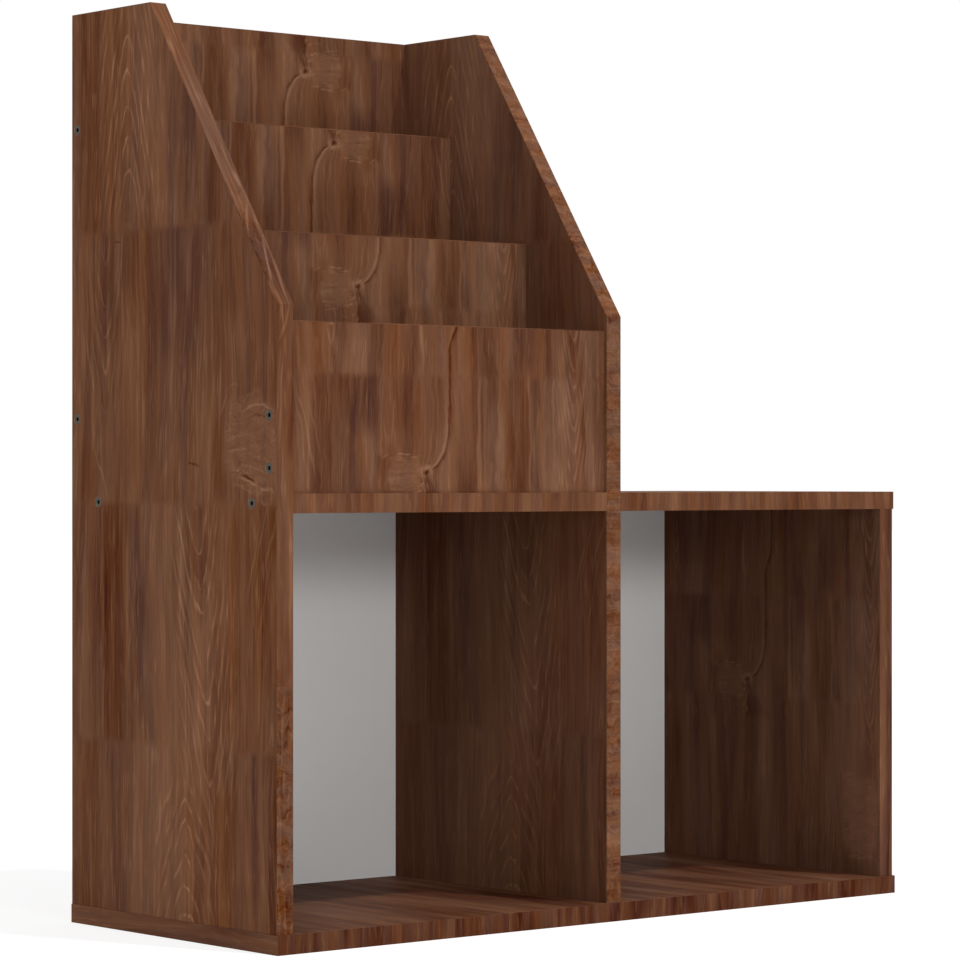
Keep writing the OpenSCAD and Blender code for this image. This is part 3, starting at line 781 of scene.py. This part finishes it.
def band_finish(node_name, side, grain, seed, lift=0.0, warmth=0.0, strokes=1.0, ends=None, end_lift=0.0,
                marks=(), bark=()):
    """Walnut on an edge band. Ends gives other axes for the strips that face along X. Bark lists where the
    mottled print shows, as low and high end above the base panel and strength."""
    fade = 30.0
    finish, t, shader = material(node_name + "_walnut")
    place = axes_of(t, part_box(node_name)[0])
    across, along = place[side], place[grain]
    if ends:
        turned = facing(t, "X")
        across = t.total(t.times(across, t.math("SUBTRACT", 1.0, turned)), t.times(place[ends[0]], turned))
        along = t.total(t.times(along, t.math("SUBTRACT", 1.0, turned)), t.times(place[ends[1]], turned))
        lift = t.math("MULTIPLY_ADD", turned, end_lift, lift)
    light, warm = add_marks(t, across, along, marks)
    warm = t.math("ADD", warm, warmth)
    if bark:
        mottled = t.use(BARK, Across=place["X"], Along=place["Z"], Seed=seed)
        amount = t.total(*(t.times(t.spread(place["Z"], low - fade, low + fade),
                                   t.spread(place["Z"], high - fade, high + fade, strength, 0.0))
                           for low, high, strength in bark))
        light = t.math("MULTIPLY_ADD", mottled["Light"], amount, light)
        warm = t.math("MULTIPLY_ADD", mottled["Warm"], amount, warm)
    decor = t.use(DECOR, Across=across, Along=along, Seed=seed, Light=t.math("ADD", light, lift), Warm=warm,
                  Strokes=strokes)
    finish_walnut(t, shader, decor["Color"], decor)
    dress(node_name, finish)
    soften(node_name, BAND_ROUNDING)


# Marks are place, half width, low and high end, lean, and how much paler and warmer, as on the sheets.
# Those of the middle side are painted light and shade, measured from its own front and foot: paler high up
# and darker low towards the front.
MIDDLE_SIDE_PAINTED_LIGHT_AND_SHADE = [
    (72, 46, 540, 690, 0.0, -0.15, 0.0), (195, 46, 700, 990, 0.0, 0.20, 0.0),
    (296, 24, 700, 990, 0.0, 0.18, 0.0),
]
# Those of an upright band are measured from its left edge and from the base panel's top.
LEFT_BAND_MARKS = [
    (9, 12, 655, 820, 0.0, 0.18, -0.20), (9, 12, 800, 900, 0.0, 0.04, 0.08),
    (9, 12, 556, 664, 0.0, -0.34, -0.16), (9, 2.0, 583, 640, 0.35, 0.95, -0.10),
    (2, 1.5, 553, 594, 0.0, 0.55, 0.0), (15, 1.8, 566, 622, 0.10, 0.80, 0.0),
    (7, 1.6, 626, 674, 0.40, 0.60, 0.0), (16, 1.6, 628, 658, 0.10, 0.45, 0.0),
    (2, 1.3, 645, 692, 0.0, 0.40, 0.0), (14, 1.4, 650, 790, 0.0, 0.36, 0.0),
    (11, 1.2, 690, 800, -0.03, 0.30, 0.0), (8, 1.6, 533, 577, 0.30, 0.45, 0.0),
    (7, 1.1, 680, 880, -0.01, -0.20, 0.0), (3, 1.3, 740, 890, 0.0, 0.26, 0.0),
]
RIGHT_BAND_MARKS = [(4, 5, -20, 420, 0.0, 0.14, 0.0), (14, 5, -20, 420, 0.0, -0.18, 0.0)]


def dress_boards():
    board_finish("left_side", "X", "Z", 1.0, side_sheet, bands=0.3, lift=-0.04, contrast=1.28, hues=0.8)
    # The middle side's own marks are painted light high up and painted shade low near the front
    board_finish("middle_side", "X", "Z", 1.0, side_sheet, bands=0.3, warmth=-0.18, contrast=0.92, hues=0.55,
                 painted_light_and_shade=MIDDLE_SIDE_PAINTED_LIGHT_AND_SHADE)
    board_finish("right_side", "X", "Z", 12.0, knot_sheet((197, 197), 1.0, -1.0), lift=0.03, warmth=-0.18,
                 contrast=0.92, hues=0.75)
    # Knot from the board's low corner, way the sheet is turned, and lift
    display_boards = {
        "front_board": ((157.6, 19.5), -1.0, -0.04),
        "second_board": ((168, 198), -1.0, 0.08),
        "third_board": ((232, 275), 1.0, 0.0),
        "upper_back_board": ((253, 426), 1.0, 0.05),
    }
    for node_name, (knot, way, lift) in display_boards.items():
        board_finish(node_name, "Y", "Z", 12.0, knot_sheet(knot, way, way), lift=lift, warmth=-0.03,
                     contrast=1.2, hues=0.85)
    # Seed and lift
    level_boards = {
        "base_panel": (51.0, -0.15),
        "middle_shelf": (52.0, 0.0),
        "cube_top": (53.0, 0.0),
        "middle_pocket_floor": (54.0, 0.0),
        "rear_pocket_floor": (55.0, 0.0),
    }
    for node_name, (seed, lift) in level_boards.items():
        board_finish(node_name, "Z", "Y", seed, bands=1.3, lift=lift, warmth=-0.1)


def dress_bands():
    band_finish("left_side_edge_bands", "X", "Z", 61.0, lift=-0.09, strokes=1.5, marks=LEFT_BAND_MARKS,
                bark=[(-100, 230, 1.0), (610, 680, 0.65)])
    band_finish("middle_side_edge_bands", "Z", "X", 62.0, lift=0.05, bark=[(-100, 999, 0.95)])
    band_finish("right_side_edge_band", "X", "Z", 63.0, lift=-0.11, warmth=-0.14, marks=RIGHT_BAND_MARKS)
    band_finish("cube_top_edge_bands", "X", "Z", 64.0, lift=-0.03, ends="YZ")
    band_finish("middle_shelf_edge_band", "X", "Z", 65.0)
    band_finish("base_edge_bands", "X", "Z", 66.0, lift=-0.39, warmth=-0.08, ends="ZY", end_lift=0.45)
    for seed, name in enumerate(("front_board", "second_board", "third_board")):
        band_finish(name + "_edge_band", "Y", "X", 67.0 + seed, lift=0.1)
    band_finish("upper_back_edge_band", "Y", "X", 70.0, lift=0.1)


def dress_thin_back():
    """White in front and brown hardboard behind and round the edges."""
    finish, t, shader = material("thin_back_white")
    place = axes_of(t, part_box("thin_back")[0])
    where = t.vector(place["X"], place["Y"], place["Z"])
    front = t.math("LESS_THAN", normal_along(t, "Y"), -FACES_FROM)
    fibres = t.add("ShaderNodeTexNoise", {"Vector": where, "Scale": 0.9, "Detail": 4.0}).outputs["Fac"]
    clouds = t.add("ShaderNodeTexNoise", {"Vector": where, "Scale": 0.03, "Detail": 2.0}).outputs["Fac"]
    brown = t.brighten(HARDBOARD, t.total(t.times(fibres, 0.5), t.times(clouds, 0.3), -0.4))
    white = t.brighten(BACK_WHITE, t.total(t.times(clouds, 0.03), t.times(fibres, 0.02), -0.025))
    t.feed(shader.inputs["Base Color"], t.mix(front, brown, white))
    t.feed(shader.inputs["Roughness"], t.spread(front, 0.0, 1.0, HARDBOARD_ROUGHNESS, WHITE_ROUGHNESS))
    bump = t.add("ShaderNodeBump", {"Height": fibres, "Strength": BUMP_STRENGTH, "Distance": GRAIN_DEPTH})
    t.feed(shader.inputs["Normal"], bump.outputs[0])
    shader.inputs["Specular IOR Level"].default_value = WHITE_SPECULAR
    dress("thin_back", finish)
    soften("thin_back", THIN_BACK_ROUNDING)


def dress_screws_and_nails():
    """Dull steel with a fine grain in its colour and gloss."""
    finish, t, shader = material("board_screw_steel")
    where = t.add("ShaderNodeTexCoord").outputs["Object"]
    grains = t.add("ShaderNodeTexNoise", {"Vector": where, "Scale": 900.0, "Detail": 3.0}).outputs["Fac"]
    t.feed(shader.inputs["Base Color"], t.brighten(SCREW_STEEL, t.total(t.times(grains, 0.5), -0.25)))
    t.feed(shader.inputs["Roughness"], t.spread(grains, 0.3, 0.7, *STEEL_ROUGHNESS))
    shader.inputs["Metallic"].default_value = STEEL_METALLIC
    for node_name in ("left_side_screws", "middle_side_screws", "cube_top_screws", "base_screws",
                      "thin_back_nails"):
        dress(node_name, finish)


def dress_dowels():
    """Beech with fine flecks along the dowel."""
    finish, t, shader = material("beech_dowel")
    where = t.add("ShaderNodeTexCoord").outputs["Object"]
    apart = t.add("ShaderNodeSeparateXYZ", {"Vector": where})
    along = t.times(apart.outputs["X"], 1 / MM)
    across = t.times(t.math("ADD", apart.outputs["Y"], apart.outputs["Z"]), 1 / MM)
    flecks = t.noise(across, along, 3.0, 0.5, 5, detail=2)
    t.feed(shader.inputs["Base Color"], t.brighten(BEECH, t.times(flecks, 0.12)))
    shader.inputs["Roughness"].default_value = BEECH_ROUGHNESS
    for node_name in ("left_display_dowels", "right_display_dowels", "cube_top_dowels"):
        dress(node_name, finish)


# Camera, floor and light

# A level camera at the photograph's viewing angle: metres, radians, and millimetres for lens and film
CAMERA_PLACE = (-2.4018, -2.8442, 0.4301)
CAMERA_YAW = 0.6966
CAMERA_LENS = 138.89
CAMERA_FILM = 36
CAMERA_SHIFT_Y = -0.00105
CAMERA_REACH = 100


def make_camera():
    data = bpy.data.cameras.new("camera")
    data.sensor_width = CAMERA_FILM
    data.lens = CAMERA_LENS
    data.shift_y = CAMERA_SHIFT_Y
    data.clip_end = CAMERA_REACH
    camera = bpy.data.objects.new("camera", data)
    camera.location = CAMERA_PLACE
    camera.rotation_euler = (math.pi / 2, 0, -CAMERA_YAW)
    bpy.context.scene.collection.objects.link(camera)
    bpy.context.scene.camera = camera


def seen_directly(t):
    """1 for the camera's own rays, and for those that a mirror or glass turns."""
    path = t.add("ShaderNodeLightPath").outputs
    turned = t.math("MAXIMUM", path["Is Glossy Ray"], path["Is Transmission Ray"])
    return t.math("MAXIMUM", path["Is Camera Ray"], turned)


# The floor's own grey, and the grey and glow that the camera sees in its place
PAPER = colour(230, 230, 230)
SHOWN_PAPER = colour(170, 170, 170)
SHOWN_GLOW = 0.7


def make_floor():
    """A pale floor that shows white where it is lit, and a little darker in the object's shadow."""
    half = 20.0
    mesh = bpy.data.meshes.new("studio_floor")
    corners = [(-half, -half, 0), (half, -half, 0), (half, half, 0), (-half, half, 0)]
    mesh.from_pydata(corners, [], [(0, 1, 2, 3)])
    floor = bpy.data.objects.new("studio_floor", mesh)
    bpy.context.scene.collection.objects.link(floor)
    finish = bpy.data.materials.new("studio_floor")
    t = emptied(finish)
    paper = t.add("ShaderNodeBsdfDiffuse", {"Color": PAPER})
    shown_paper = t.add("ShaderNodeBsdfDiffuse", {"Color": SHOWN_PAPER})
    glow = t.add("ShaderNodeEmission", {"Color": (1.0, 1.0, 1.0, 1.0), "Strength": SHOWN_GLOW})
    shown = t.add("ShaderNodeAddShader", {0: shown_paper.outputs[0], 1: glow.outputs[0]})
    either = t.add("ShaderNodeMixShader", {
        "Fac": seen_directly(t), 1: paper.outputs[0], 2: shown.outputs[0]})
    t.add("ShaderNodeOutputMaterial", {"Surface": either.outputs[0]})
    mesh.materials.append(finish)


SKY_LEVEL = 0.46
# Each lamp: level on a surface that faces it, azimuth from the front towards the right, elevation, softness
LAMPS = {
    "key": (0.385, 20, 61, 3),
    "low_front": (0.18, -12, 12, 12),
    "left": (0.08, -45, 40, 12),
    "high_left": (0.185, -80, 68, 12),
}


def make_light():
    world = bpy.data.worlds.new("studio")
    bpy.context.scene.world = world
    t = emptied(world)
    level = t.spread(seen_directly(t), 0.0, 1.0, SKY_LEVEL, 1.0, smooth=False)
    sky = t.add("ShaderNodeBackground", {"Color": (1.0, 1.0, 1.0, 1.0), "Strength": level})
    t.add("ShaderNodeOutputWorld", {"Surface": sky.outputs[0]})
    for name, (level, azimuth, elevation, softness) in LAMPS.items():
        lamp = bpy.data.lights.new(name, "SUN")
        lamp.energy = level * math.pi
        lamp.angle = math.radians(softness)
        holder = bpy.data.objects.new(name, lamp)
        holder.rotation_euler = (math.radians(90 - elevation), 0, math.radians(azimuth))
        bpy.context.scene.collection.objects.link(holder)
    bpy.context.scene.view_settings.view_transform = "Standard"


make_camera()
make_floor()
make_light()
dress_boards()
dress_bands()
dress_thin_back()
dress_screws_and_nails()
dress_dowels()
